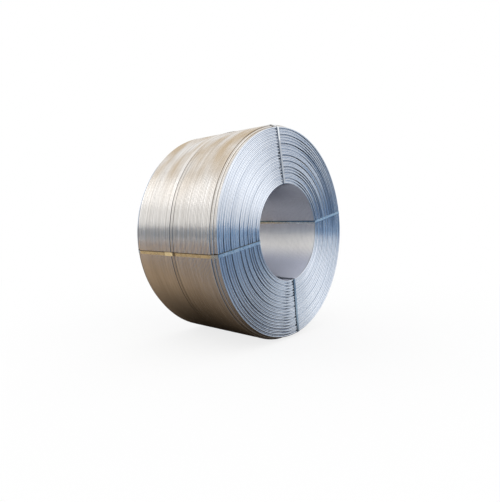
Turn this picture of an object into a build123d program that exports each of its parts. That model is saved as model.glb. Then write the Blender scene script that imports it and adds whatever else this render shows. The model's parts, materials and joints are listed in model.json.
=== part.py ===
from build123d import *

import os
from math import sqrt

# Coil of aluminium wire rod, bound with four steel straps. All lengths are in millimetres.
# The coil lies on its barrel on the floor, z = 0, under the origin. Its axis is level, along Y.
# The front end faces -Y, and angles are counted anticlockwise from +X, seen from the front.

# The winding
ROD_DIAMETER = 9.5
BORE_RADIUS = 280.0
LAYER_COUNT = 41
TURNS_PER_LAYER = 67
# How many turns short of each end the outermost layers stop, the outermost layer first
SHORT_LAYER_TURNS = (4.0, 2.5)
# The end turns lie almost level with each other, a little behind the proud turns at the bore and the rim
END_FLAT_DEPTH = 1.5
# In these layers, counted from the bore, they lie deep and leave a ring groove in both ends
DEEP_LAYERS = (4, 12, 20, 28, 34)
END_GROOVE_WIDTH = 12.0
END_GROOVE_DEPTH = 7.0

# Two ring grooves where the outermost turns part, counted from the middle towards the rear
GROOVE_OFFSETS = (-12.0, 10.0)
GROOVE_WIDTH = 5.0
GROOVE_DEPTH = 3.5

# The straps
STRAP_WIDTH = 19.0
STRAP_THICKNESS = 0.8
STRAP_CLEARANCE = 0.3
STRAP_ANGLES_DEG = {"right": 12.2, "top": 101.8, "left": 190.3, "bottom": 278.2}

# Each strap's two ends overlap under a crimped seal, and its free end reaches past the seal
SEAL_LENGTH = 57.0
SEAL_WALL = 1.0
SEAL_CLEARANCE = 0.1
SEAL_OFFSET = 27.0
SEAL_CRIMP_SPACING = 26.0
SEAL_CRIMP_WIDTH = 7.0
SEAL_CRIMP_DEPTH = 1.6
STRAP_START_LENGTH = 12.0
STRAP_TAIL_LENGTH = 36.0

# Worked out from the winding: neighbouring layers lie half a turn apart, each in the grooves of the last
ROD_RADIUS = ROD_DIAMETER / 2
LAYER_PITCH = ROD_DIAMETER * sqrt(3) / 2
HALF_WIDTH = TURNS_PER_LAYER * ROD_DIAMETER / 2
RIM_LAYER = LAYER_COUNT - len(SHORT_LAYER_TURNS)
BARREL_RADIUS = BORE_RADIUS + ROD_DIAMETER + (LAYER_COUNT - 1) * LAYER_PITCH

# A flat strap in the round bore touches the wall with its edges, so its middle stands in by this much
BORE_SAGITTA = BORE_RADIUS - sqrt(BORE_RADIUS**2 - (STRAP_WIDTH / 2) ** 2)
STRAP_OUTER_RADIUS = BARREL_RADIUS + STRAP_CLEARANCE + STRAP_THICKNESS


def layer_radius(layer):
    """Distance from the coil's axis to the middle of the rod in a layer, counted from 1 at the bore."""
    return BORE_RADIUS + ROD_RADIUS + (layer - 1) * LAYER_PITCH


def layer_reach(layer):
    """How far a layer reaches along the axis from the middle of the coil."""
    if layer > RIM_LAYER:
        return HALF_WIDTH - SHORT_LAYER_TURNS[LAYER_COUNT - layer] * ROD_DIAMETER
    return HALF_WIDTH


def v_groove(middle, width, top, depth):
    """Corners of a V groove on either side of its middle, as a place and a height."""
    return [(middle - width / 2, top), (middle, top - depth), (middle + width / 2, top)]


def end_outline():
    """Corners of one end's outline from bore to barrel, as radius and distance from the coil's middle."""
    corners = [(BORE_RADIUS, layer_reach(1) - ROD_RADIUS), (layer_radius(1), layer_reach(1))]
    for layer in sorted(DEEP_LAYERS):
        flat = layer_reach(layer) - END_FLAT_DEPTH
        corners += v_groove(layer_radius(layer), END_GROOVE_WIDTH, flat, END_GROOVE_DEPTH)
    corners.append((layer_radius(RIM_LAYER), layer_reach(RIM_LAYER)))
    corners.append((layer_radius(RIM_LAYER) + ROD_RADIUS, layer_reach(RIM_LAYER) - ROD_RADIUS))
    for layer in range(RIM_LAYER + 1, LAYER_COUNT + 1):
        corners.append((layer_radius(layer - 1) + ROD_RADIUS, layer_reach(layer)))
        corners.append((layer_radius(layer) + ROD_RADIUS, layer_reach(layer) - ROD_RADIUS))
    return corners


def barrel_outline():
    """Corners of the two ring grooves in the barrel, from front to rear, as radius and distance."""
    corners = []
    for offset in sorted(GROOVE_OFFSETS):
        groove = v_groove(offset, GROOVE_WIDTH, BARREL_RADIUS, GROOVE_DEPTH)
        corners += [(radius, place) for place, radius in groove]
    return corners


def make_rod_coil():
    """The wound rod: one turned solid with its bore, its layers showing as rings on both ends."""
    front = [(radius, -reach) for radius, reach in end_outline()]
    rear = list(reversed(end_outline()))
    outline = Polyline(*front, *barrel_outline(), *rear, close=True)
    return revolve(make_face(outline), axis=Axis.Y)


def strap_section(gap):
    """The region that a tight strap encloses, its inner side lying a gap off the rods at the coil's edges."""
    edge_layers = [1, *range(RIM_LAYER, LAYER_COUNT + 1)]
    circles = []
    for layer in edge_layers:
        radius = layer_radius(layer) - (BORE_SAGITTA if layer == 1 else 0)
        for side in (-1, 1):
            centre = Pos(radius, side * (layer_reach(layer) - ROD_RADIUS))
            circles.append(centre * CenterArc((0, 0), ROD_RADIUS + gap, 0, 360))
    return make_hull(circles)


def make_strap():
    """One strap on the +X side: a closed loop round the coil's section, with its free end laid over."""
    band = strap_section(STRAP_CLEARANCE + STRAP_THICKNESS) - strap_section(STRAP_CLEARANCE)
    loop = extrude(band, amount=STRAP_WIDTH / 2, both=True)
    tail_front = SEAL_OFFSET - SEAL_LENGTH / 2 - STRAP_START_LENGTH
    tail_rear = SEAL_OFFSET + SEAL_LENGTH / 2 + STRAP_TAIL_LENGTH
    tail = Pos(STRAP_OUTER_RADIUS + STRAP_THICKNESS / 2, (tail_front + tail_rear) / 2) * Box(
        STRAP_THICKNESS, tail_rear - tail_front, STRAP_WIDTH
    )
    return loop + tail


def make_seal():
    """One seal on the +X side: a steel channel over both strap ends, with crimps in its two edges."""
    foot = STRAP_OUTER_RADIUS - STRAP_THICKNESS
    hollow_height = 2 * STRAP_THICKNESS + SEAL_CLEARANCE
    hollow_width = STRAP_WIDTH + 2 * SEAL_CLEARANCE
    height = hollow_height + SEAL_WALL
    width = hollow_width + 2 * SEAL_WALL
    body = Pos(foot + height / 2, 0) * Box(height, SEAL_LENGTH, width)
    body -= Pos(foot + hollow_height / 2, 0) * Box(hollow_height, SEAL_LENGTH, hollow_width)
    for station in (-SEAL_CRIMP_SPACING / 2, SEAL_CRIMP_SPACING / 2):
        for side in (-1, 1):
            notch = Polyline(
                (station - SEAL_CRIMP_WIDTH / 2, 0),
                (station, -SEAL_CRIMP_DEPTH),
                (station + SEAL_CRIMP_WIDTH / 2, 0),
                close=True,
            )
            edge = Plane((foot, 0, side * width / 2), x_dir=(0, 1, 0), z_dir=(side, 0, 0))
            body -= extrude(edge * make_face(notch), amount=side * height)
    return Pos(0, SEAL_OFFSET) * body


def place_round_coil(shape, angle):
    """Turns a shape from the +X side to an angle round the coil, with the coil's barrel on the floor."""
    return Pos(0, 0, BARREL_RADIUS) * Rot(0, -angle, 0) * shape


def main():
    """Builds every piece in its place and writes one file for each."""
    nodes = {"rod_coil": place_round_coil(make_rod_coil(), 0)}
    strap = make_strap()
    seal = make_seal()
    for name, angle in STRAP_ANGLES_DEG.items():
        nodes[f"strap_{name}"] = place_round_coil(strap, angle)
        nodes[f"seal_{name}"] = place_round_coil(seal, angle)
    os.makedirs("parts", exist_ok=True)
    for name, shape in nodes.items():
        export_step(shape, f"parts/{name}.step")
        print(f"{name}: {shape.volume / 1e6:.4f} dm3")


main()
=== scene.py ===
"""The looks of the coil of wire rod: its turns, straps, seals and finishes, and the studio round it."""

import json
import logging
import math
import random
from dataclasses import dataclass, replace
from enum import Enum
from typing import Any

import bmesh
import bpy
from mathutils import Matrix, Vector

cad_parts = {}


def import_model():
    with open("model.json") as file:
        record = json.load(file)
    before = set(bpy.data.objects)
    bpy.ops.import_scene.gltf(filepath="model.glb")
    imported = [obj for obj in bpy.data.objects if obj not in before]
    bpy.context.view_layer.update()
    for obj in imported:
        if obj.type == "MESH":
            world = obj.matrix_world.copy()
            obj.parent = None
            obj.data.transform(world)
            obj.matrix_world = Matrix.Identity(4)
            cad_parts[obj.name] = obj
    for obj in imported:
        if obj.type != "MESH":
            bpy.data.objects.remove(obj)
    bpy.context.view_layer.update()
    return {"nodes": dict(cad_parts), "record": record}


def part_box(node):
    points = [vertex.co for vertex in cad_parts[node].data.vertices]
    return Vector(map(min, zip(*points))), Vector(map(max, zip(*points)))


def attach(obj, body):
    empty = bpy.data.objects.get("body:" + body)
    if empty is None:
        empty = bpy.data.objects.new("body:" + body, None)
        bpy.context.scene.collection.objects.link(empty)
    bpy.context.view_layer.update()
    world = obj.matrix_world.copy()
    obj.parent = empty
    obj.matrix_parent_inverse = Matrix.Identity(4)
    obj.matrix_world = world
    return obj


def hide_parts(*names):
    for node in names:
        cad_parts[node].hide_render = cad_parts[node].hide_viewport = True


logging.basicConfig(level=logging.INFO, format="%(message)s")
LOG = logging.getLogger("coil")

Colour = tuple[float, float, float]
Span = tuple[float, float]
Curve = tuple[tuple[float, float], ...]

WHITE: Colour = (1.0, 1.0, 1.0)
BLACK: Colour = (0.0, 0.0, 0.0)

BODY = "root"
COIL_NODE = "rod_coil"
SEED = 41
FULL_TURN = 2 * math.pi

# Where the straps lie round the coil, in degrees anticlockwise from +X, seen from the front
STRAP_ANGLES = {"left": 190.3, "right": 12.2, "top": 101.8, "bottom": 278.2}
STRAP_WIDTH = 0.019

# Points nearer than these are merged: a share of the rod's radius on the rods, and metres on the core
ROD_MERGE_SHARE = 1e-4
CORE_MERGE = 1e-6


class End(Enum):
    """The coil's two ends, as the sign of their side of the Y axis."""

    FRONT = -1
    REAR = 1


def ease(share: float) -> float:
    """A smooth step from 0 to 1 as the share goes from 0 to 1, level outside that range."""
    held = min(max(share, 0.0), 1.0)
    return held * held * (3 - 2 * held)


def beside(edge: float, span: Span) -> Span:
    """A span that is counted from an edge, as plain places."""
    return edge + span[0], edge + span[1]


def profile(points: Curve, place: float) -> float:
    """Reads a smooth curve through points.

    Args:
        points: The curve's points, as place and value, in order.
        place: Where it is read. Before the first point and past the last it is level.

    Returns:
        The value there.
    """
    value = points[0][1]
    for (first, low), (second, high) in zip(points, points[1:]):
        if place > first:
            value = low + (high - low) * ease((place - first) / (second - first))
    return value


def ended(bm: bmesh.types.BMesh, name: str) -> bpy.types.Mesh:
    """Ends a bmesh as a new mesh.

    Args:
        bm: The bmesh, which is freed.
        name: The mesh's name.

    Returns:
        The mesh.
    """
    mesh = bpy.data.meshes.new(name)
    bm.to_mesh(mesh)
    bm.free()
    return mesh


def in_scene(name: str, data: bpy.types.ID) -> bpy.types.Object:
    """Makes an object and adds it to the scene.

    Args:
        name: The object's name.
        data: Its mesh, lamp or camera.

    Returns:
        The object.
    """
    thing = bpy.data.objects.new(name, data)
    bpy.context.scene.collection.objects.link(thing)
    return thing


@dataclass(frozen=True)
class Wire:
    """An output of a material's nodes, on which arithmetic adds Math nodes."""

    sheet: "NodeSheet"
    socket: bpy.types.NodeSocket

    def __add__(self, other: "Wire | float") -> "Wire":
        """The sum of this output and another."""
        return self.sheet.math("ADD", self, other)

    def __radd__(self, other: float) -> "Wire":
        """The sum of a number and this output."""
        return self.sheet.math("ADD", other, self)

    def __sub__(self, other: "Wire | float") -> "Wire":
        """This output less another."""
        return self.sheet.math("SUBTRACT", self, other)

    def __rsub__(self, other: float) -> "Wire":
        """A number less this output."""
        return self.sheet.math("SUBTRACT", other, self)

    def __mul__(self, other: "Wire | float") -> "Wire":
        """The product of this output and another."""
        return self.sheet.math("MULTIPLY", self, other)

    def __rmul__(self, other: float) -> "Wire":
        """The product of a number and this output."""
        return self.sheet.math("MULTIPLY", other, self)

    def __truediv__(self, other: "Wire | float") -> "Wire":
        """This output divided by another."""
        return self.sheet.math("DIVIDE", self, other)

    def ramp(self, low: float, high: float) -> "Wire":
        """A smooth step of this output, from 0 at low to 1 at high.

        Args:
            low: The value that becomes 0.
            high: The value that becomes 1.

        Returns:
            The stepped output.
        """
        return self.sheet.node(
            "ShaderNodeMapRange",
            {"interpolation_type": "SMOOTHSTEP"},
            {"Value": self, "From Min": low, "From Max": high},
        )

    def within(self, span: Span) -> "Wire":
        """The value this far through a span, where this output goes from 0 to 1."""
        return span[0] + (span[1] - span[0]) * self

    def inside(self, span: Span, rise: float, fall: float) -> "Wire":
        """A mask that is 1 inside a span of this output and 0 outside it.

        Args:
            span: The span.
            rise: How far from its start the mask takes to reach 1.
            fall: How far before its end the mask starts to go back to 0.

        Returns:
            The mask.
        """
        low, high = span
        return self.ramp(low, low + rise) * (1.0 - self.ramp(high - fall, high))


class NodeSheet:
    """The node tree of one material or world, and the few ways in which the finishes add to it."""

    def __init__(self, owner: bpy.types.Material | bpy.types.World) -> None:
        """Starts an empty tree.

        Args:
            owner: The material or world that the tree belongs to.
        """
        self.owner = owner
        owner.use_nodes = True
        self.tree = owner.node_tree
        self.tree.nodes.clear()

    @classmethod
    def of_material(cls, name: str) -> "NodeSheet":
        """The empty tree of a new material."""
        return cls(bpy.data.materials.new(name))

    def node(
        self,
        kind: str,
        settings: dict[str, Any] | None = None,
        inputs: dict[str | int, Any] | None = None,
        output: str | int | None = 0,
    ) -> Wire | None:
        """Adds one node.

        Args:
            kind: The node's type.
            settings: Its own settings, such as an operation.
            inputs: Values or links of its sockets, by name or number.
            output: The output that is wanted, or None for a node that has none.

        Returns:
            That output.
        """
        node = self.tree.nodes.new(kind)
        for name, value in (settings or {}).items():
            setattr(node, name, value)
        for name, value in (inputs or {}).items():
            if isinstance(value, Wire):
                self.tree.links.new(value.socket, node.inputs[name])
            else:
                node.inputs[name].default_value = value
        return None if output is None else Wire(self, node.outputs[output])

    def math(self, operation: str, first: Wire | float, second: Wire | float = 0.0) -> Wire:
        """Adds a Math node on two outputs or numbers."""
        return self.node("ShaderNodeMath", {"operation": operation}, {0: first, 1: second})

    def place(self) -> tuple[Wire, Wire]:
        """The surface's Object coordinates.

        Returns:
            The coordinates as one vector, and the node that splits them, read with axis().
        """
        vector = self.node("ShaderNodeTexCoord", output="Object")
        return vector, self.node("ShaderNodeSeparateXYZ", inputs={0: vector})

    def axis(self, split: Wire, name: str) -> Wire:
        """Another output of the same node, such as one coordinate of a split vector."""
        return Wire(self, split.socket.node.outputs[name])

    def over_floor(self) -> tuple[Wire, Wire, Wire]:
        """Where the surface lies over the floor.

        Returns:
            X, Y, and the distance from the point under the coil's middle.
        """
        _, split = self.place()
        x = self.axis(split, "X")
        y = self.axis(split, "Y")
        return x, y, self.math("SQRT", x * x + y * y)

    def vector(self, x: Wire | float, y: Wire | float, z: Wire | float) -> Wire:
        """Joins three values into a vector."""
        return self.node("ShaderNodeCombineXYZ", inputs={0: x, 1: y, 2: z})

    def noise(self, vector: Wire, scale: float, detail: float = 2.0, roughness: float = 0.5) -> Wire:
        """Smooth noise from 0 to 1 at each point of a vector field."""
        values = {"Vector": vector, "Scale": scale, "Detail": detail, "Roughness": roughness}
        return self.node("ShaderNodeTexNoise", inputs=values)

    def mix(self, share: Wire | float, first: Wire | Colour, second: Wire | Colour) -> Wire:
        """Mixes two colours.

        Args:
            share: How much of the second colour shows.
            first: The first colour.
            second: The second colour.

        Returns:
            The mixed colour.
        """
        values = {0: share, 6: self.colour(first), 7: self.colour(second)}
        return self.node("ShaderNodeMix", {"data_type": "RGBA"}, values, output=2)

    def tinted(self, first: Wire, second: Wire) -> Wire:
        """The product of two colours."""
        values = {0: 1.0, 6: first, 7: second}
        return self.node("ShaderNodeMix", {"data_type": "RGBA", "blend_type": "MULTIPLY"}, values, output=2)

    @staticmethod
    def colour(value: Wire | Colour) -> Wire | tuple[float, ...]:
        """A colour with its alpha, or the output that gives one."""
        return value if isinstance(value, Wire) else (*value, 1.0)

    def bump(self, height: Wire) -> Wire:
        """The normals of a fine relief, its height given in metres."""
        return self.node("ShaderNodeBump", inputs={"Height": height, "Distance": 1.0}, output="Normal")

    def finish(self, inputs: dict[str, Any]) -> bpy.types.Material:
        """Ends the tree in a Principled shader.

        Args:
            inputs: Values or links of the shader's sockets.

        Returns:
            The material.
        """
        self.surface(self.node("ShaderNodeBsdfPrincipled", inputs=inputs))
        return self.owner

    def surface(self, shader: Wire) -> None:
        """Ends the tree in a shader."""
        self.node("ShaderNodeOutputMaterial", inputs={"Surface": shader}, output=None)


@dataclass(frozen=True)
class Winding:
    """The wound rod's sizes in metres. Angles go anticlockwise from +X, seen from the front, in degrees."""

    axis_height: float
    half_width: float
    barrel_radius: float
    bore_radius: float
    turns_per_layer: int = 67
    short_layer_turns: tuple[float, ...] = (4.0, 2.5)

    @classmethod
    def from_frame(cls, record: dict[str, Any]) -> "Winding":
        """Reads the coil's outer sizes from its solid and the bore from its mount.

        Args:
            record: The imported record.

        Returns:
            The winding.
        """
        low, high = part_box(COIL_NODE)
        bore = next(mount for mount in record["mounts"] if mount["name"] == "bore")
        return cls(
            axis_height=(low.z + high.z) / 2,
            half_width=(high.y - low.y) / 2,
            barrel_radius=(high.z - low.z) / 2,
            bore_radius=bore["dims"]["r_mm"] / 1000,
        )

    @property
    def rod(self) -> float:
        """The rod's radius."""
        return self.half_width / self.turns_per_layer

    @property
    def layer_pitch(self) -> float:
        """How far apart two layers lie, each in the grooves of the last."""
        return self.rod * math.sqrt(3)

    @property
    def layer_count(self) -> int:
        """How many layers there are between the bore and the barrel."""
        return 1 + round((self.barrel_radius - self.bore_radius - 2 * self.rod) / self.layer_pitch)

    @property
    def rim_layer(self) -> int:
        """The outermost layer that reaches both ends."""
        return self.layer_count - len(self.short_layer_turns)

    def layer_radius(self, layer: float) -> float:
        """From the coil's axis to the middle of the rod in a layer."""
        return self.bore_radius + self.rod + (layer - 1) * self.layer_pitch

    def last_turn(self, layer: int) -> float:
        """From the coil's middle to the middle of the rod in a layer's last turn.

        Args:
            layer: The layer, counted from 1 at the bore.

        Returns:
            The distance along the coil.
        """
        short = 0.0
        if layer > self.rim_layer:
            short = self.short_layer_turns[self.layer_count - layer] * 2 * self.rod
        elif layer % 2 == 0:
            short = self.rod
        return self.half_width - self.rod - short

    def point(self, angle: float, radius: float, along: float) -> Vector:
        """A point of the coil.

        Args:
            angle: The angle round the coil.
            radius: The distance from the coil's axis.
            along: The distance from the coil's middle, towards the rear.

        Returns:
            The point in the frame.
        """
        turn = math.radians(angle)
        return Vector((radius * math.cos(turn), along, self.axis_height + radius * math.sin(turn)))


@dataclass(frozen=True)
class Station:
    """One place that the middle of the rod passes: its angle, radius and distance along the coil."""

    angle: float
    radius: float
    along: float


@dataclass(frozen=True)
class CrossOver:
    """Where round the coil the rod steps from one turn or layer to the next, in degrees."""

    start: float = 259.0
    middle: float = 275.5
    end: float = 278.0

    def moved(self, by: float) -> "CrossOver":
        """The same step, shifted round the coil."""
        return CrossOver(self.start + by, self.middle + by, self.end + by)


class Wander:
    """The slow unevenness of a turn: a few seeded waves round the coil that close on themselves."""

    smallest_share = 0.3

    def __init__(self, rng: random.Random, height: float, waves: tuple[int, ...] = (2, 3, 5, 9)) -> None:
        """Draws the waves.

        Args:
            rng: The seeded source of chance.
            height: About how far the turn strays.
            waves: How many times each wave rises in one turn.
        """
        self.parts = []
        for count in waves:
            phase = rng.uniform(0, FULL_TURN)
            size = rng.uniform(self.smallest_share, 1.0) * height / 2
            self.parts.append((count, phase, size))

    def at(self, angle: float) -> float:
        """How far the turn strays at an angle in degrees."""
        turn = math.radians(angle)
        return sum(size * math.sin(count * turn + phase) for count, phase, size in self.parts)

    def sunk(self, angle: float) -> float:
        """The same, moved down so that it is never above 0 and the turn only sinks."""
        return self.at(angle) - sum(size for _, _, size in self.parts)


class RodMesh:
    """A mesh of round rods, each swept through its stations."""

    def __init__(self, winding: Winding, sides: int, steps_per_turn: int) -> None:
        """Starts an empty mesh.

        Args:
            winding: The winding whose rod it is.
            sides: How many sides the rod's section has.
            steps_per_turn: How many steps each turn of the rod has.
        """
        self.winding = winding
        self.sides = sides
        self.steps_per_turn = steps_per_turn
        self.bm = bmesh.new()

    def angles(self, start: float, end: float) -> list[float]:
        """Evenly spaced angles from start to end, both included."""
        count = max(1, round((end - start) / 360.0 * self.steps_per_turn))
        return [start + (end - start) * index / count for index in range(count + 1)]

    def add(self, stations: list[Station], closed: bool = False) -> None:
        """Sweeps one rod, span by span, and adds it to the mesh.

        Args:
            stations: The places that it passes. A closed rod's last station is its first.
            closed: Whether the rod closes on itself.
        """
        rod = bmesh.new()
        for first in range(0, len(stations) - 1, self.steps_per_turn):
            span = self.span(stations[first : first + self.steps_per_turn + 1], closed)
            rod.from_mesh(span)
            bpy.data.meshes.remove(span)
        bmesh.ops.remove_doubles(rod, verts=rod.verts[:], dist=self.winding.rod * ROD_MERGE_SHARE)
        rims = [edge for edge in rod.edges if edge.is_boundary]
        bmesh.ops.holes_fill(rod, edges=rims, sides=self.sides)
        bmesh.ops.recalc_face_normals(rod, faces=rod.faces[:])
        for face in rod.faces:
            face.smooth = len(face.verts) == 4
        whole = ended(rod, "rod")
        self.bm.from_mesh(whole)
        bpy.data.meshes.remove(whole)

    def span(self, stations: list[Station], closed: bool) -> bpy.types.Mesh:
        """Sweeps the rod's section through at most one turn.

        Args:
            stations: The places that the span passes.
            closed: Whether the span closes on itself.

        Returns:
            The span's mesh.
        """
        bm = bmesh.new()
        bmesh.ops.create_circle(bm, segments=self.sides, radius=self.winding.rod)
        section = [(vert.co.x, vert.co.y) for vert in bm.verts]
        bmesh.ops.translate(bm, vec=(self.winding.barrel_radius, 0, 0), verts=bm.verts[:])
        turned = math.radians(stations[0].angle - stations[-1].angle)
        steps = len(stations) - 1
        bmesh.ops.spin(bm, geom=bm.edges[:], axis=(0, 1, 0), angle=turned, steps=steps, use_merge=closed)
        for index, vert in enumerate(bm.verts):
            station = stations[index // self.sides]
            outwards, along = section[index % self.sides]
            vert.co = self.winding.point(station.angle, station.radius + outwards, station.along + along)
        return ended(bm, "span")

    def made(self) -> bpy.types.Mesh:
        """The mesh of every rod that was added, which ends it."""
        return ended(self.bm, "rods")

    def ring(self, radius: float, along: float) -> None:
        """Adds one closed turn."""
        self.add([Station(angle, radius, along) for angle in self.angles(0.0, 360.0)], closed=True)


class Piece:
    """One finished object of the coil, which rides on its body and takes its finish."""

    def __init__(self, name: str, mesh: bpy.types.Mesh, finish: bpy.types.Material, slot: str) -> None:
        """Makes the object and dresses it.

        Args:
            name: The piece's name.
            mesh: Its mesh, in place in the frame.
            finish: Its material.
            slot: The record's material slot, which is not used.
        """
        mesh.name = name
        mesh.materials.clear()
        mesh.materials.append(finish)
        self.object = in_scene(name, mesh)
        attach(self.object, BODY)
        LOG.info("%s: %d faces", name, len(mesh.polygons))


class Facing(Enum):
    """Which way a set of turns faces, and so where its grooves lie and how its pattern runs."""

    SIDE = "side"
    END = "end"
    BORE = "bore"


@dataclass(frozen=True)
class Grain:
    """How closely one layer of noise is packed, round the coil and across its turns."""

    around: float
    across: float
    scale: float
    detail: float


STREAKS = Grain(around=1.0, across=60.0, scale=3.0, detail=4.0)
TURN_TONES = Grain(around=0.2, across=1.0, scale=0.9, detail=1.0)
STAIN_AND_REFLECTION_CLOUDS = Grain(around=1.0, across=2.0, scale=4.0, detail=3.0)
SHADOW_BANDS = Grain(around=0.3, across=16.0, scale=3.0, detail=1.0)
DIE_LINES = Grain(around=1.0, across=200.0, scale=6.0, detail=2.0)
SWELLS = Grain(around=1.0, across=6.0, scale=3.2, detail=0.0)


@dataclass(frozen=True)
class Spot:
    """Where a point of the surface lies on the coil, with z counted from the coil's axis."""

    sheet: NodeSheet
    place: Wire
    x: Wire
    y: Wire
    z: Wire
    radius: Wire

    @classmethod
    def on(cls, sheet: NodeSheet, winding: Winding) -> "Spot":
        """Reads the point from a material's Object coordinates.

        Args:
            sheet: The material's nodes.
            winding: The winding, for the height of its axis.

        Returns:
            The point.
        """
        place, split = sheet.place()
        x = sheet.axis(split, "X")
        z = sheet.axis(split, "Z") - winding.axis_height
        return cls(sheet, place, x, sheet.axis(split, "Y"), z, sheet.math("SQRT", x * x + z * z))

    def noise(self, grain: Grain, across: Wire) -> Wire:
        """Noise at the point.

        Args:
            grain: How closely it is packed.
            across: The point's place across the turns.

        Returns:
            The noise, from 0 to 1.
        """
        vector = self.sheet.vector(self.x * grain.around, across * grain.across, self.z * grain.around)
        return self.sheet.noise(vector, grain.scale, detail=grain.detail)


@dataclass(frozen=True)
class PaintedLightBand:
    """A tint of painted light or painted shade that grows from one height to another, both counted from the
    coil's axis.
    """

    start: float
    end: float
    colour: Colour
    share: float


@dataclass(frozen=True)
class RodFinish:
    """The drawn aluminium of the rod, as it looks on one side of the coil.

    The colour drifts in long streaks along the turns. High on the coil it darkens in warm clouds, partly
    stains and partly a painted reflection of the warmer, darker surroundings that the top mirrors. A pale
    band may run round the barrel. The ends have bands of painted shade high and to the right, seen from
    the front.
    Fine die lines run along the rod, and the turns bulge and sink a little together, which bends what they
    mirror.

    Heights are counted from the coil's axis, those of the stain-like clouds as a share of the barrel's
    radius.
    end_groove and side_groove say how many rod radii behind the proud side the painted shade of a groove
    starts and is darkest.
    """

    name: str
    bright: Colour
    dull: Colour
    # The colour of the painted shade down in the grooves between the turns
    groove: Colour
    groove_shade_share: float
    roughness: Span
    streaks: Grain = STREAKS
    stain_and_reflection: Colour = BLACK
    stain_and_reflection_share: float = 0.0
    swell: float = 0.0
    band: Span | None = None
    shadow: Colour = BLACK
    shadow_share: float = 0.0
    painted_light_bands: tuple[PaintedLightBand, ...] = ()
    tone_share: float = 0.6
    tone_ramp: Span = (0.35, 0.85)
    cloud_ramp: Span = (0.3, 0.7)
    stain_and_reflection_heights: Span = (0.12, 0.85)
    band_colour: Colour = (0.94, 0.92, 0.90)
    band_share: float = 0.5
    band_edges: Span = (0.003, 0.008)
    band_heights: Span = (0.0, 0.3)
    shadow_ramp: Span = (0.47, 0.60)
    shadow_right: Span = (0.02, 0.25)
    shadow_heights: Span = (-0.05, 0.15)
    end_groove: Span = (0.6, 2.4)
    side_groove: Span = (0.25, 1.0)
    line_height: float = 0.00002

    def make(self, winding: Winding, facing: Facing) -> bpy.types.Material:
        """Builds the material.

        Args:
            winding: The winding's sizes, which the pattern follows.
            facing: Which way the turns face.

        Returns:
            The material.
        """
        sheet = NodeSheet.of_material(self.name)
        spot = Spot.on(sheet, winding)
        # In the bore the radius hardly changes, so the streaks don't differ from turn to turn there
        across = spot.y if facing is Facing.SIDE else spot.radius
        streaks = spot.noise(self.streaks, across)
        turns = spot.noise(TURN_TONES, across / winding.rod)
        mixed = (streaks * self.tone_share + turns * self.tone_share).ramp(*self.tone_ramp)
        tone = self.marked(spot, across, winding, sheet.mix(mixed, self.dull, self.bright))
        shade = self.groove_shade(spot, winding, facing)
        lines = spot.noise(DIE_LINES, across)
        swells = spot.noise(SWELLS, across)
        # Painted shade: the colour darkens towards the groove colour down between the turns
        return sheet.finish({
            "Base Color": sheet.mix(shade * self.groove_shade_share, tone, self.groove),
            "Metallic": 1.0,
            "Roughness": streaks.within(self.roughness),
            "Normal": sheet.bump(lines * self.line_height + swells * self.swell),
        })

    def marked(self, spot: Spot, across: Wire, winding: Winding, tone: Wire) -> Wire:
        """Lays the stains and painted reflection, the pale band, painted shade bands and painted light on
        the tone.

        Args:
            spot: The point of the surface.
            across: Its place across the turns.
            winding: The winding's sizes.
            tone: The rod's own tone.

        Returns:
            The tone with its marks.
        """
        sheet = spot.sheet
        # Stains and painted reflection: warm clouds darken the tone high on the coil, where the top mirrors
        # darker, warmer surroundings
        clouds = spot.noise(STAIN_AND_REFLECTION_CLOUDS, spot.y).ramp(*self.cloud_ramp)
        height = (spot.z / winding.barrel_radius).ramp(*self.stain_and_reflection_heights)
        tone = sheet.mix(clouds * height * self.stain_and_reflection_share, tone, self.stain_and_reflection)
        if self.band:
            inside = spot.y.inside(self.band, *self.band_edges)
            share = inside * spot.z.ramp(*self.band_heights) * self.band_share
            tone = sheet.mix(share, tone, self.band_colour)
        # Painted shade: dark blue bands across the turns, high and to the right on the ends seen from the
        # front, stand for turns lying in shade
        if self.shadow_share:
            bands = spot.noise(SHADOW_BANDS, across).ramp(*self.shadow_ramp)
            quarter = spot.x.ramp(*self.shadow_right) * spot.z.ramp(*self.shadow_heights)
            tone = sheet.mix(bands * quarter * self.shadow_share, tone, self.shadow)
        for light_band in self.painted_light_bands:
            tone = sheet.mix(spot.z.ramp(light_band.start, light_band.end) * light_band.share, tone, light_band.colour)
        return tone

    def groove_shade(self, spot: Spot, winding: Winding, facing: Facing) -> Wire:
        """How far a point lies down in a groove between the turns, which sets its painted shade.

        Args:
            spot: The point of the surface.
            winding: The winding's sizes.
            facing: Which way the turns face.

        Returns:
            0 on the turns' proud side, rising to 1 in the groove.
        """
        if facing is Facing.END:
            depth = winding.half_width - spot.sheet.math("ABSOLUTE", spot.y)
            start, end = self.end_groove
        else:
            face = winding.bore_radius if facing is Facing.BORE else winding.barrel_radius
            depth = spot.sheet.math("ABSOLUTE", spot.radius - face)
            start, end = self.side_groove
        return depth.ramp(winding.rod * start, winding.rod * end)


# The barrel's warm tint is painted reflection of the warm ground it mirrors; the aluminium is the same as at
# the ends
BARREL_FINISH = RodFinish(
    name="barrel_rod",
    bright=(0.90, 0.88, 0.855),
    dull=(0.64, 0.61, 0.575),
    groove=(0.16, 0.13, 0.10),
    groove_shade_share=0.5,
    roughness=(0.14, 0.26),
    # The warm clouds high on the barrel are partly stains and partly painted reflection
    stain_and_reflection=(0.53, 0.395, 0.235),
    stain_and_reflection_share=0.9,
    swell=0.0014,
    band=(0.012, 0.042),
)
SHOULDER_FINISH = replace(BARREL_FINISH, name="shoulder_rod", groove_shade_share=0.0, stain_and_reflection_share=0.4)
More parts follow.
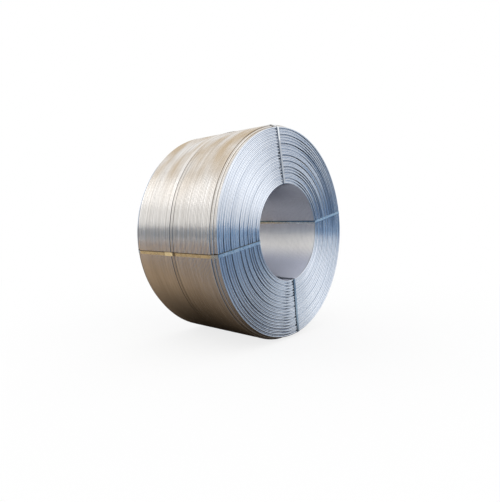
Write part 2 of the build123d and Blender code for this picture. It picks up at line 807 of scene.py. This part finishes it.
# The ends' cool blue tint, and the blue of their grooves, is painted reflection of the blue surroundings
# they mirror
END_FINISH = RodFinish(
    name="end_rod",
    bright=(0.78, 0.81, 0.86),
    dull=(0.59, 0.63, 0.70),
    groove=(0.06, 0.11, 0.20),
    groove_shade_share=0.6,
    roughness=(0.14, 0.24),
    shadow=(0.20, 0.29, 0.42),
    shadow_share=0.72,
)
BORE_FINISH = RodFinish(
    name="bore_rod",
    bright=(1.0, 0.98, 0.99),
    dull=(0.70, 0.69, 0.72),
    groove=(0.30, 0.30, 0.33),
    groove_shade_share=0.5,
    roughness=(0.24, 0.36),
    streaks=replace(STREAKS, across=24.0),
    # Painted light in the bore: a painted highlight from the middle down, a painted bluish reflection low
    # down and painted shade at the top
    painted_light_bands=(
        PaintedLightBand(0.04, -0.04, (1.0, 0.98, 0.94), 0.7),
        PaintedLightBand(-0.08, -0.20, (0.60, 0.64, 0.78), 0.85),
        PaintedLightBand(0.12, 0.27, (0.36, 0.36, 0.42), 0.85),
    ),
)


@dataclass(frozen=True)
class Groove:
    """The way of one recessed end turn in and out, as angles in degrees round the coil.

    shares says how much of the turn's depth shows at each angle, in order from the first angle. Beside the
    upper strap the turn has a notch, dip deep, from the strap's edge to the notch's foot.
    """

    first_angle = -75.0
    notch_rise = 1.0

    depths: Span
    strength: float
    shares: Curve
    edge: float
    foot: float
    dip: float

    @property
    def middle(self) -> float:
        """The middle of the notch."""
        return (self.edge + self.foot) / 2

    def depth(self, angle: float) -> float:
        """How far the turn lies behind the end's level.

        Args:
            angle: The angle round the coil.

        Returns:
            The distance along the coil.
        """
        shallow, deep = self.depths
        notch = ((self.edge - self.notch_rise, 0.0), (self.edge, 1.0), (self.middle, 1.0), (self.foot, 0.0))
        share = profile(self.shares, (angle - self.first_angle) % 360.0 + self.first_angle)
        recess = shallow + (deep - shallow) * self.strength ** (1 / share) * share
        return recess + self.dip * profile(notch, angle % 360.0)

    def refined(self, angles: list[float]) -> list[float]:
        """Adds the notch's corners to the angles that a turn passes.

        Args:
            angles: The angles, in order.

        Returns:
            The angles with the corners among them.
        """
        rise = self.notch_rise
        corners = (self.edge - rise, self.edge, self.middle, self.foot, self.foot + rise)
        added = [corner + turn for corner in corners for turn in (-360.0, 0.0, 360.0)]
        return sorted({*angles, *(angle for angle in added if angles[0] < angle < angles[-1])})


@dataclass
class Coil:
    """The wound rod: its turns along the barrel, over both ends and in the bore, on a plain core.

    Along the barrel the turns part at barrel_gaps, counted from the coil's middle, with middle_turns between
    them. Where the outermost layers stop short, shoulder_turns of each layer that shows are built.
    zone_shift says how far, in degrees, the steps of the end turns lie off the cross-over.

    The end turns of the odd layers stand proud. Those of the even layers lie behind them, between the two
    depths in recess. groove_strengths says how deep each lies, 0 where a layer isn't named and 1 for the
    deepest. Left of the upper strap, seen from the front, each even turn has a notch, whose length and depth
    are drawn from notch and dip. A turn starts to come to the end lag degrees after its step begins. stray
    and lift say how far the end turns lie off level, and ripple how far the turns of the barrel and the bore
    sink. The core starts core_inset rod radii below the middle of the rods that show, and core_depth behind
    those at the ends.
    """

    winding: Winding
    cross_over: CrossOver = CrossOver()
    zone_shift: Span = (-1.5, 0.8)
    barrel_gaps: Span = (-0.012, 0.010)
    middle_turns: int = 2
    shoulder_turns: int = 2
    groove_strengths: tuple[tuple[int, float], ...] = (
        (2, 0.6), (4, 0.9), (8, 0.8), (10, 0.7), (12, 1.0), (16, 0.8), (20, 1.0), (24, 0.5),
        (26, 0.3), (28, 1.0), (30, 0.5), (32, 0.5), (34, 0.9), (36, 0.3), (38, 0.7),
    )
    recess: Span = (0.0012, 0.0080)
    notch: Span = (0.006, 0.020)
    dip: Span = (-0.0012, 0.0026)
    lag: float = 5.0
    stray: float = 0.0006
    lift: float = 0.0006
    ripple: float = 0.0004
    ripple_waves: tuple[int, ...] = (9, 13, 17)
    ripple_fade: float = 20.0
    core_inset: float = 0.5
    core_depth: float = 3.0
    sides: int = 12
    steps: int = 128
    bore_sides: int = 10
    bore_steps: int = 96

    def build(self) -> None:
        """Builds every piece of the wound rod."""
        self.rng = random.Random(SEED)
        rods = {
            "barrel_turns": (self.barrel_mesh(), BARREL_FINISH.make(self.winding, Facing.SIDE)),
            "shoulder_turns": (self.shoulder_mesh(), SHOULDER_FINISH.make(self.winding, Facing.SIDE)),
            "end_turns_front": (self.end_mesh(End.FRONT), END_FINISH.make(self.winding, Facing.END)),
            "end_turns_rear": (self.end_mesh(End.REAR), END_FINISH.make(self.winding, Facing.END)),
            "bore_turns": (self.bore_mesh(), BORE_FINISH.make(self.winding, Facing.BORE)),
            "winding_core": (self.core_mesh(), BORE_FINISH.make(self.winding, Facing.BORE)),
        }
        for name, (mesh, finish) in rods.items():
            piece = Piece(name, mesh, finish, "rod")
            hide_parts(COIL_NODE)

    def turn_places(self) -> list[float]:
        """Where the outermost layer's turns lie along the coil, parted at the two grooves.

        Returns:
            The places, from front to rear.
        """
        rod = self.winding.rod
        last = self.winding.last_turn(self.winding.layer_count)
        front_gap, rear_gap = self.barrel_gaps
        front_count = int((last + rod + front_gap) // (2 * rod))
        rear_count = int((last + rod - rear_gap) // (2 * rod))
        middle = (front_gap + rear_gap) / 2
        places = [-last + 2 * rod * index for index in range(front_count)]
        places += [middle + rod * (2 * index + 1 - self.middle_turns) for index in range(self.middle_turns)]
        places += [last - 2 * rod * index for index in reversed(range(rear_count))]
        return places

    def wound(self, rods: RodMesh, radius: float, places: list[float], outwards: float) -> None:
        """Adds one layer's turns as one rod, which steps from turn to turn at the cross-over.

        Args:
            rods: The mesh that takes the rod.
            radius: The layer's radius.
            places: Where the turns lie along the coil, from front to rear.
            outwards: 1 where the layer is seen from outside the coil and -1 where from the bore.
        """
        zone = self.cross_over
        fade = self.ripple_fade
        stations = []
        for index, place in enumerate(places):
            wander = Wander(self.rng, self.ripple, waves=self.ripple_waves)
            target = places[min(index + 1, len(places) - 1)]
            for turned in rods.angles(0.0, 360.0)[:-1]:
                angle = zone.end + turned
                share = ease((angle - 360.0 - zone.start) / (zone.end - zone.start))
                stray = outwards * wander.sunk(turned) * ease(turned / fade) * ease((360.0 - turned) / fade)
                stations.append(Station(angle, radius + stray, place + (target - place) * share))
        rods.add(stations)

    def barrel_mesh(self) -> bpy.types.Mesh:
        """The outermost layer.

        Returns:
            The mesh.
        """
        rods = RodMesh(self.winding, self.sides, self.steps)
        self.wound(rods, self.winding.layer_radius(self.winding.layer_count), self.turn_places(), 1.0)
        return rods.made()

    def shoulder_mesh(self) -> bpy.types.Mesh:
        """The turns of the layers below that show where the outermost layers stop short.

        Returns:
            The mesh.
        """
        rods = RodMesh(self.winding, self.sides, self.steps)
        layers = range(self.winding.rim_layer, self.winding.layer_count)
        for end in End:
            for layer in layers:
                first = 0 if layer > self.winding.rim_layer else 1
                for turn in range(first, first + self.shoulder_turns):
                    along = self.winding.last_turn(layer) - 2 * self.winding.rod * turn
                    rods.ring(self.winding.layer_radius(layer), end.value * along)
        return rods.made()

    def bore_mesh(self) -> bpy.types.Mesh:
        """The innermost layer, short of its two end turns, which are among the end turns.

        Returns:
            The mesh.
        """
        rods = RodMesh(self.winding, self.bore_sides, self.bore_steps)
        last = self.winding.last_turn(1) - 2 * self.winding.rod
        count = self.winding.turns_per_layer - 2
        places = [-last + 2 * last * index / (count - 1) for index in range(count)]
        self.wound(rods, self.winding.layer_radius(1), places, -1.0)
        return rods.made()

    def end_mesh(self, end: End) -> bpy.types.Mesh:
        """One end's turns: each proud turn steps up into the recessed turn of the next layer.

        Args:
            end: The end of the coil.

        Returns:
            The mesh.
        """
        rods = RodMesh(self.winding, self.sides, self.steps)
        rim = self.winding.rim_layer
        for layer in range(1, rim, 2):
            rods.add(self.paired_stations(rods, layer, end))
        rods.ring(self.winding.layer_radius(rim), end.value * self.winding.last_turn(rim))
        return rods.made()

    def groove_shares(self, half_strap: float, foot: float) -> Curve:
        """How much of a recessed turn's depth shows at each angle, because it works its way in and out.

        Args:
            half_strap: Half the straps' width, in degrees round the turn.
            foot: The angle at which the turn's notch beside the upper strap ends.

        Returns:
            Angles and shares, in order.
        """
        upper, lower = STRAP_ANGLES["top"], STRAP_ANGLES["bottom"]
        return (
            (Groove.first_angle, 0.35), (-15.0, 0.4), (10.0, 1.3), (60.0, 1.5), (90.0, 0.85),
            (upper + half_strap, 0.9), (foot, 0.35), (160.0, 0.35), (190.0, 0.9), (230.0, 0.8),
            (255.0, 0.5), (lower - half_strap, 0.6), (lower, 0.35), (285.0, 0.35),
        )

    def drawn_groove(self, layer: int) -> Groove:
        """Draws the groove of an even layer's end turn.

        Args:
            layer: The layer.

        Returns:
            The groove.
        """
        radius = self.winding.layer_radius(layer)
        notch = self.rng.uniform(*self.notch)
        half_strap = math.degrees(STRAP_WIDTH / 2 / radius)
        foot = STRAP_ANGLES["top"] + math.degrees((STRAP_WIDTH / 2 + notch) / radius)
        return Groove(
            depths=self.recess,
            strength=dict(self.groove_strengths).get(layer, 0.0),
            shares=self.groove_shares(half_strap, foot),
            edge=STRAP_ANGLES["top"] + half_strap,
            foot=foot,
            dip=self.rng.uniform(*self.dip),
        )

    def paired_stations(self, rods: RodMesh, layer: int, end: End) -> list[Station]:
        """The way of the rod through a layer's end turn and the first turn of the next layer.

        Args:
            rods: The mesh that takes the rod.
            layer: The lower of the two layers.
            end: The end of the coil.

        Returns:
            The stations, from behind the proud turn to behind the recessed one.
        """
        winding = self.winding
        level = winding.last_turn(1)
        zone = self.cross_over.moved(self.rng.uniform(*self.zone_shift))
        proud = Wander(self.rng, self.stray)
        recessed = Wander(self.rng, self.stray)
        lift = self.rng.uniform(-self.lift, self.lift)
        groove = self.drawn_groove(layer + 1)
        stations = []
        for angle in groove.refined(rods.angles(zone.start - 360.0, zone.middle + 360.0)):
            comes = ease((angle + 360.0 - zone.start - self.lag) / (zone.end - zone.start - self.lag))
            climbs = ease((angle - zone.start) / (zone.middle - zone.start))
            leaves = ease((angle - 360.0 - zone.start) / (zone.middle - zone.start))
            depth = 2 * winding.rod * (1 - comes) + groove.depth(angle) * climbs + 2 * winding.rod * leaves
            stray = proud.at(angle) * (1 - climbs) + recessed.at(angle) * climbs
            along = level - depth + lift * (1 - climbs) + stray
            # No turn stands out past the level of the ends, because the straps lie on it
            along = min(along, level)
            stations.append(Station(angle, winding.layer_radius(layer + climbs), end.value * along))
        return stations

    def core_mesh(self) -> bpy.types.Mesh:
        """The turned core that backs the turns.

        Returns:
            The mesh.
        """
        winding = self.winding
        inset = winding.rod * self.core_inset
        inner = winding.layer_radius(1) + inset
        outer = winding.layer_radius(winding.rim_layer) - inset
        crown = winding.layer_radius(winding.layer_count) - inset
        side = winding.last_turn(1) - self.core_depth * winding.rod
        crown_side = winding.last_turn(winding.layer_count) - winding.rod
        corners = [
            (inner, -side), (outer, -side), (outer, -crown_side), (crown, -crown_side),
            (crown, crown_side), (outer, crown_side), (outer, side), (inner, side),
        ]
        bm = bmesh.new()
        verts = [bm.verts.new((radius, along, 0)) for radius, along in corners]
        edges = [bm.edges.new((verts[index - 1], verts[index])) for index in range(len(verts))]
        bmesh.ops.spin(bm, geom=edges, axis=(0, 1, 0), angle=FULL_TURN, steps=self.steps, use_merge=True)
        bmesh.ops.remove_doubles(bm, verts=bm.verts[:], dist=CORE_MERGE)
        bmesh.ops.translate(bm, vec=(0, 0, winding.axis_height), verts=bm.verts[:])
        bmesh.ops.recalc_face_normals(bm, faces=bm.faces[:])
        return ended(bm, "core")


@dataclass(frozen=True)
class SteelFinish:
    """The rolled steel of a strap or seal, with painted shadow along one long edge, for the shaded gap under
    it.

    angle is where the strip lies round the coil. shadow_edge_side is the sign of the long edge with the
    painted shadow, and shadow_edge_from is how far from the strip's middle it starts. In the bore it covers
    what lies before bore_shadow_edge, which by default is beside the strip. The tints colour the strip over
    the barrel,
    in the bore and near the rim of the ends: painted reflection over the barrel, painted shade in the bore,
    for the right strap a warm painted reflection there, and a painted highlight near the rim. mark is where
    along the coil the strip is darkened over the barrel.
    """

    name: str
    bright: Colour
    dull: Colour
    edge: Colour
    angle: float
    shadow_edge_from: float = 0.0055
    shadow_edge_side: float = -1.0
    barrel_reflection_tint: Colour = WHITE
    bore_shade_and_reflection_tint: Colour = (0.55, 0.55, 0.57)
    bore_shadow_edge: float = -0.020
    rim_highlight_tint: Colour = WHITE
    mark: Span | None = None
    metallic: float = 1.0
    roughness: Span = (0.20, 0.34)
    cloud_scale: float = 40.0
    cloud_detail: float = 4.0
    cloud_ramp: Span = (0.35, 0.65)
    over_barrel: Span = (-0.004, 0.0)
    in_bore: Span = (-0.001, 0.006)
    near_rim: Span = (-0.10, -0.08)
    shadow_edge_softness: float = 0.0015
    mark_softness: float = 0.002
    mark_share: float = 0.8
    grain_scale: float = 900.0
    grain_height: float = 0.00003

    def make(self, winding: Winding) -> bpy.types.Material:
        """Builds the material.

        Args:
            winding: The winding that the strip goes round.

        Returns:
            The material.
        """
        sheet = NodeSheet.of_material(self.name)
        spot = Spot.on(sheet, winding)
        turn = math.radians(self.angle)
        across = (spot.z * math.cos(turn) - spot.x * math.sin(turn)) * self.shadow_edge_side
        cloud = sheet.noise(spot.place, self.cloud_scale, detail=self.cloud_detail)
        outside = spot.radius.ramp(*beside(winding.barrel_radius, self.over_barrel))
        inside = 1.0 - spot.radius.ramp(*beside(winding.bore_radius, self.in_bore))
        rim = spot.radius.ramp(*beside(winding.barrel_radius, self.near_rim))
        # Painted light: a reflection tint over the barrel, a highlight near the rim of the ends, shade or a
        # warm reflection in the bore
        tint = sheet.mix(outside, sheet.mix(rim, WHITE, self.rim_highlight_tint), self.barrel_reflection_tint)
        tone = sheet.mix(cloud.ramp(*self.cloud_ramp), self.dull, self.bright)
        tone = sheet.tinted(tone, sheet.mix(inside, tint, self.bore_shade_and_reflection_tint))
        # Painted shadow along one long edge, standing in for the shaded gap under it
        edge_shadow = across.ramp(self.shadow_edge_from, self.shadow_edge_from + self.shadow_edge_softness) * (1.0 - inside)
        edge_shadow = edge_shadow + across.ramp(self.bore_shadow_edge, self.bore_shadow_edge - self.shadow_edge_softness) * inside
        colour = sheet.mix(edge_shadow, tone, self.edge)
        # A darker patch on the strip over the barrel, between the two places in mark
        if self.mark:
            darkened_patch = spot.y.inside(self.mark, self.mark_softness, self.mark_softness)
            colour = sheet.mix(darkened_patch * outside * self.mark_share, colour, self.edge)
        return sheet.finish({
            "Base Color": colour,
            "Metallic": self.metallic,
            "Roughness": cloud.within(self.roughness),
            "Normal": sheet.bump(sheet.noise(spot.place, self.grain_scale) * self.grain_height),
        })


# One steel for all four straps: their differing tones are painted light, a bluish painted reflection, with
# darker painted shade on the bottom strap
STEEL_FINISHES = {
    "strap_left": SteelFinish(
        name="strap_left_steel",
        bright=(0.56, 0.66, 0.74),
        dull=(0.46, 0.56, 0.65),
        edge=(0.16, 0.14, 0.11),
        angle=STRAP_ANGLES["left"],
        barrel_reflection_tint=(1.4, 1.12, 0.74),
        mark=(-0.027, -0.003),
    ),
    "strap_right": SteelFinish(
        name="strap_right_steel",
        bright=(0.50, 0.62, 0.72),
        dull=(0.42, 0.54, 0.65),
        edge=(0.10, 0.18, 0.27),
        angle=STRAP_ANGLES["right"],
        barrel_reflection_tint=(1.5, 1.15, 0.80),
        bore_shade_and_reflection_tint=(1.25, 1.08, 0.92),
        bore_shadow_edge=0.0,
    ),
    "strap_top": SteelFinish(
        name="strap_top_steel",
        bright=(0.52, 0.55, 0.60),
        dull=(0.44, 0.48, 0.53),
        edge=(0.16, 0.19, 0.24),
        angle=STRAP_ANGLES["top"],
        shadow_edge_from=0.0030,
        shadow_edge_side=1.0,
        barrel_reflection_tint=(1.5, 1.32, 0.98),
        rim_highlight_tint=(1.8, 1.75, 1.65),
    ),
    "strap_bottom": SteelFinish(
        name="strap_bottom_steel",
        bright=(0.38, 0.46, 0.54),
        dull=(0.28, 0.36, 0.44),
        edge=(0.08, 0.11, 0.15),
        angle=STRAP_ANGLES["bottom"],
        barrel_reflection_tint=(2.0, 1.5, 1.05),
    ),
}
SEAL_FINISH = SteelFinish(
    name="seal_left_steel",
    bright=(0.88, 0.76, 0.48),
    dull=(0.72, 0.60, 0.36),
    edge=(0.18, 0.14, 0.08),
    angle=STRAP_ANGLES["left"],
    shadow_edge_from=0.0080,
    bore_shade_and_reflection_tint=WHITE,
    metallic=0.5,
)
STEEL_FINISHES |= {
    f"seal_{side}": replace(SEAL_FINISH, name=f"seal_{side}_steel", angle=angle)
    for side, angle in STRAP_ANGLES.items()
}
STEEL_FINISHES["seal_top"] = replace(STEEL_FINISHES["seal_top"], shadow_edge_side=1.0)


class Binding:
    """The four steel straps and their crimped seals, which keep their solids."""

    def dress(self, nodes: dict[str, bpy.types.Object], winding: Winding) -> None:
        """Gives the straps and seals their finishes.

        Args:
            nodes: The frame's nodes by name.
            winding: The winding that they bind.
        """
        for name, finish in STEEL_FINISHES.items():
            nodes[name].data.materials.clear()
            nodes[name].data.materials.append(finish.make(winding))
            LOG.info("%s: dressed", name)


@dataclass(frozen=True)
class Softbox:
    """One large soft lamp, aimed at the coil's middle."""

    name: str
    towards: tuple[float, float, float]
    distance: float
    size: tuple[float, float]
    power: float

    def hang(self, target: Vector) -> None:
        """Hangs the lamp.

        Args:
            target: The point that it is aimed at.
        """
        lamp = bpy.data.lights.new(self.name, "AREA")
        lamp.shape = "RECTANGLE"
        lamp.size = self.size[0]
        lamp.size_y = self.size[1]
        lamp.energy = self.power
        holder = in_scene(self.name, lamp)
        way = Vector(self.towards).normalized()
        holder.location = target + way * self.distance
        holder.rotation_euler = way.to_track_quat("Z", "Y").to_euler()


@dataclass(frozen=True)
class Screen:
    """A plain sheet round the set, which only gloss shows: it darkens what the metal mirrors.

    Its paint goes from left to front over blend, counted towards the front, and to right over side_blend,
    counted to the right. Under the coil it is darkened by a painted shadow, and under_coil_shade is how
    bright that shadow leaves it, at the left and at the right. Over far_reach the two colours in far take
    over, the first at the left.
    """

    name: str
    radius: float
    low: float
    high: float
    left: Colour
    front: Colour
    right: Colour
    blend: Span
    side_blend: Span
    under_coil_shade: Span = (1.0, 1.0)
    far: tuple[Colour, Colour] | None = None
    near_reach: Span = (0.3, 1.0)
    far_reach: Span = (1.1, 2.4)
    segments: int = 64

    def stand(self) -> None:
        """Stands the screen round the set, or lays it flat where it has no height."""
        mesh = self.mesh()
        mesh.materials.append(self.paint())
        screen = in_scene(self.name, mesh)
        screen.visible_camera = False
        screen.visible_diffuse = False
        screen.visible_shadow = False

    def mesh(self) -> bpy.types.Mesh:
        """The sheet: a round wall, or a disc where it has no height.

        Returns:
            The mesh.
        """
        bm = bmesh.new()
        flat = self.low == self.high
        bmesh.ops.create_circle(bm, cap_ends=flat, segments=self.segments, radius=self.radius)
        if not flat:
            wall = bmesh.ops.extrude_edge_only(bm, edges=bm.edges[:])
            raised = [part for part in wall["geom"] if isinstance(part, bmesh.types.BMVert)]
            bmesh.ops.translate(bm, vec=(0, 0, self.high - self.low), verts=raised)
        bmesh.ops.translate(bm, vec=(0, 0, self.low), verts=bm.verts[:])
        return ended(bm, self.name)

    def paint(self) -> bpy.types.Material:
        """Builds the sheet's matt material.

        Returns:
            The material.
        """
        sheet = NodeSheet.of_material(self.name)
        x, y, reach = sheet.over_floor()
        left, front, right = self.left, self.front, self.right
        if self.far:
            beyond = reach.ramp(*self.far_reach)
            left = sheet.mix(beyond, left, self.far[0])
            front = sheet.mix(beyond, front, self.far[1])
            right = sheet.mix(beyond, right, self.far[1])
        to_right = x.ramp(*self.side_blend)
        paint = sheet.mix((0.0 - y).ramp(*self.blend), left, front)
        paint = sheet.mix(to_right, paint, right)
        # Painted shadow: the screen goes dark under and near the coil
        painted_shadow_under_coil = 1.0 - reach.ramp(*self.near_reach)
        paint = sheet.mix(painted_shadow_under_coil * (1.0 - to_right.within(self.under_coil_shade)), paint, BLACK)
        sheet.surface(sheet.node("ShaderNodeBsdfDiffuse", inputs={"Color": paint}))
        return sheet.owner


class Studio:
    """The pale floor, the white surroundings, the screens and the lamps."""

    floor_size = 60.0
    floor_tone = (0.9, 0.9, 0.9)
    floor_glow = 0.80
    glow_reach = (0.9, 3.5)
    softboxes = (
        Softbox("key", towards=(0.05, -0.80, 0.60), distance=4.0, size=(4.0, 3.0), power=20.0),
        Softbox("side", towards=(-0.58, 0.64, 0.50), distance=4.0, size=(2.8, 1.5), power=18.0),
    )
    screens = (
        Screen(
            name="floor_screen",
            radius=5.0,
            low=0.002,
            high=0.002,
            left=(0.35, 0.26, 0.175),
            front=(0.16, 0.23, 0.33),
            right=(0.92, 0.97, 1.00),
            blend=(0.25, 0.9),
            side_blend=(-0.3, 0.6),
            under_coil_shade=(0.20, 1.0),
            far=((0.47, 0.35, 0.24), (0.14, 0.22, 0.34)),
        ),
        Screen(
            name="wall_screen",
            radius=6.0,
            low=0.0,
            high=1.0,
            left=(0.32, 0.315, 0.31),
            front=(0.15, 0.28, 0.46),
            right=(0.28, 0.42, 0.60),
            blend=(0.0, 4.8),
            side_blend=(0.0, 4.8),
        ),
    )

    def build(self, target: Vector) -> None:
        """Sets up the studio.

        Args:
            target: The point that the lamps are aimed at.
        """
        self.lay_floor()
        self.light_world()
        for softbox in self.softboxes:
            softbox.hang(target)
        for screen in self.screens:
            screen.stand()
        bpy.context.scene.view_settings.view_transform = "Standard"

    @staticmethod
    def seen(sheet: NodeSheet) -> Wire:
        """Tells the rays that show a surface from those that light others.

        Args:
            sheet: The surface's material.

        Returns:
            1 for rays from the camera, from gloss and through glass, and 0 for the rest.
        """
        path = sheet.node("ShaderNodeLightPath", output="Is Camera Ray")
        glossy = sheet.axis(path, "Is Glossy Ray")
        clear = sheet.axis(path, "Is Transmission Ray")
        return sheet.math("MAXIMUM", sheet.math("MAXIMUM", path, glossy), clear)

    def lay_floor(self) -> None:
        """Lays the pale floor, which glows so that it looks white and keeps the shadow near the coil."""
        bm = bmesh.new()
        bmesh.ops.create_grid(bm, x_segments=1, y_segments=1, size=self.floor_size / 2)
        mesh = ended(bm, "floor")
        sheet = NodeSheet.of_material("floor")
        white = sheet.colour(WHITE)
        matt = sheet.node("ShaderNodeBsdfDiffuse", inputs={"Color": sheet.colour(self.floor_tone)})
        glow = sheet.node("ShaderNodeEmission", inputs={"Color": white, "Strength": 1.0})
        _, _, reach = sheet.over_floor()
        share = self.seen(sheet) * reach.ramp(*self.glow_reach).within((self.floor_glow, 1.0))
        sheet.surface(sheet.node("ShaderNodeMixShader", inputs={0: share, 1: matt, 2: glow}))
        mesh.materials.append(sheet.owner)
        in_scene("floor", mesh)

    def light_world(self) -> None:
        """Makes the surroundings plain white for every ray."""
        world = bpy.data.worlds.new("studio")
        bpy.context.scene.world = world
        sheet = NodeSheet(world)
        values = {"Color": sheet.colour(WHITE), "Strength": 1.0}
        background = sheet.node("ShaderNodeBackground", inputs=values)
        sheet.node("ShaderNodeOutputWorld", inputs={"Surface": background}, output=None)


@dataclass(frozen=True)
class Viewpoint:
    """The photograph's view: a level camera at the front left, with its frame shifted down a little."""

    location: tuple[float, float, float] = (-2.0033, -1.7024, 0.6589)
    azimuth: float = -49.87
    lens: float = 29.97
    shift_y: float = -0.0518
    clip_end: float = 200.0

    def set_up(self) -> None:
        """Makes the camera."""
        camera = bpy.data.cameras.new("camera")
        camera.lens = self.lens
        camera.shift_y = self.shift_y
        camera.clip_end = self.clip_end
        holder = in_scene("camera", camera)
        holder.location = self.location
        holder.rotation_euler = (math.pi / 2, 0, math.radians(self.azimuth))
        bpy.context.scene.camera = holder


def main() -> None:
    """Builds the coil, its binding and the studio, in that order."""
    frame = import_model()
    Viewpoint().set_up()
    winding = Winding.from_frame(frame["record"])
    Coil(winding).build()
    Binding().dress(frame["nodes"], winding)
    Studio().build(Vector((0, 0, winding.axis_height)))


if __name__ == "__main__":
    main()
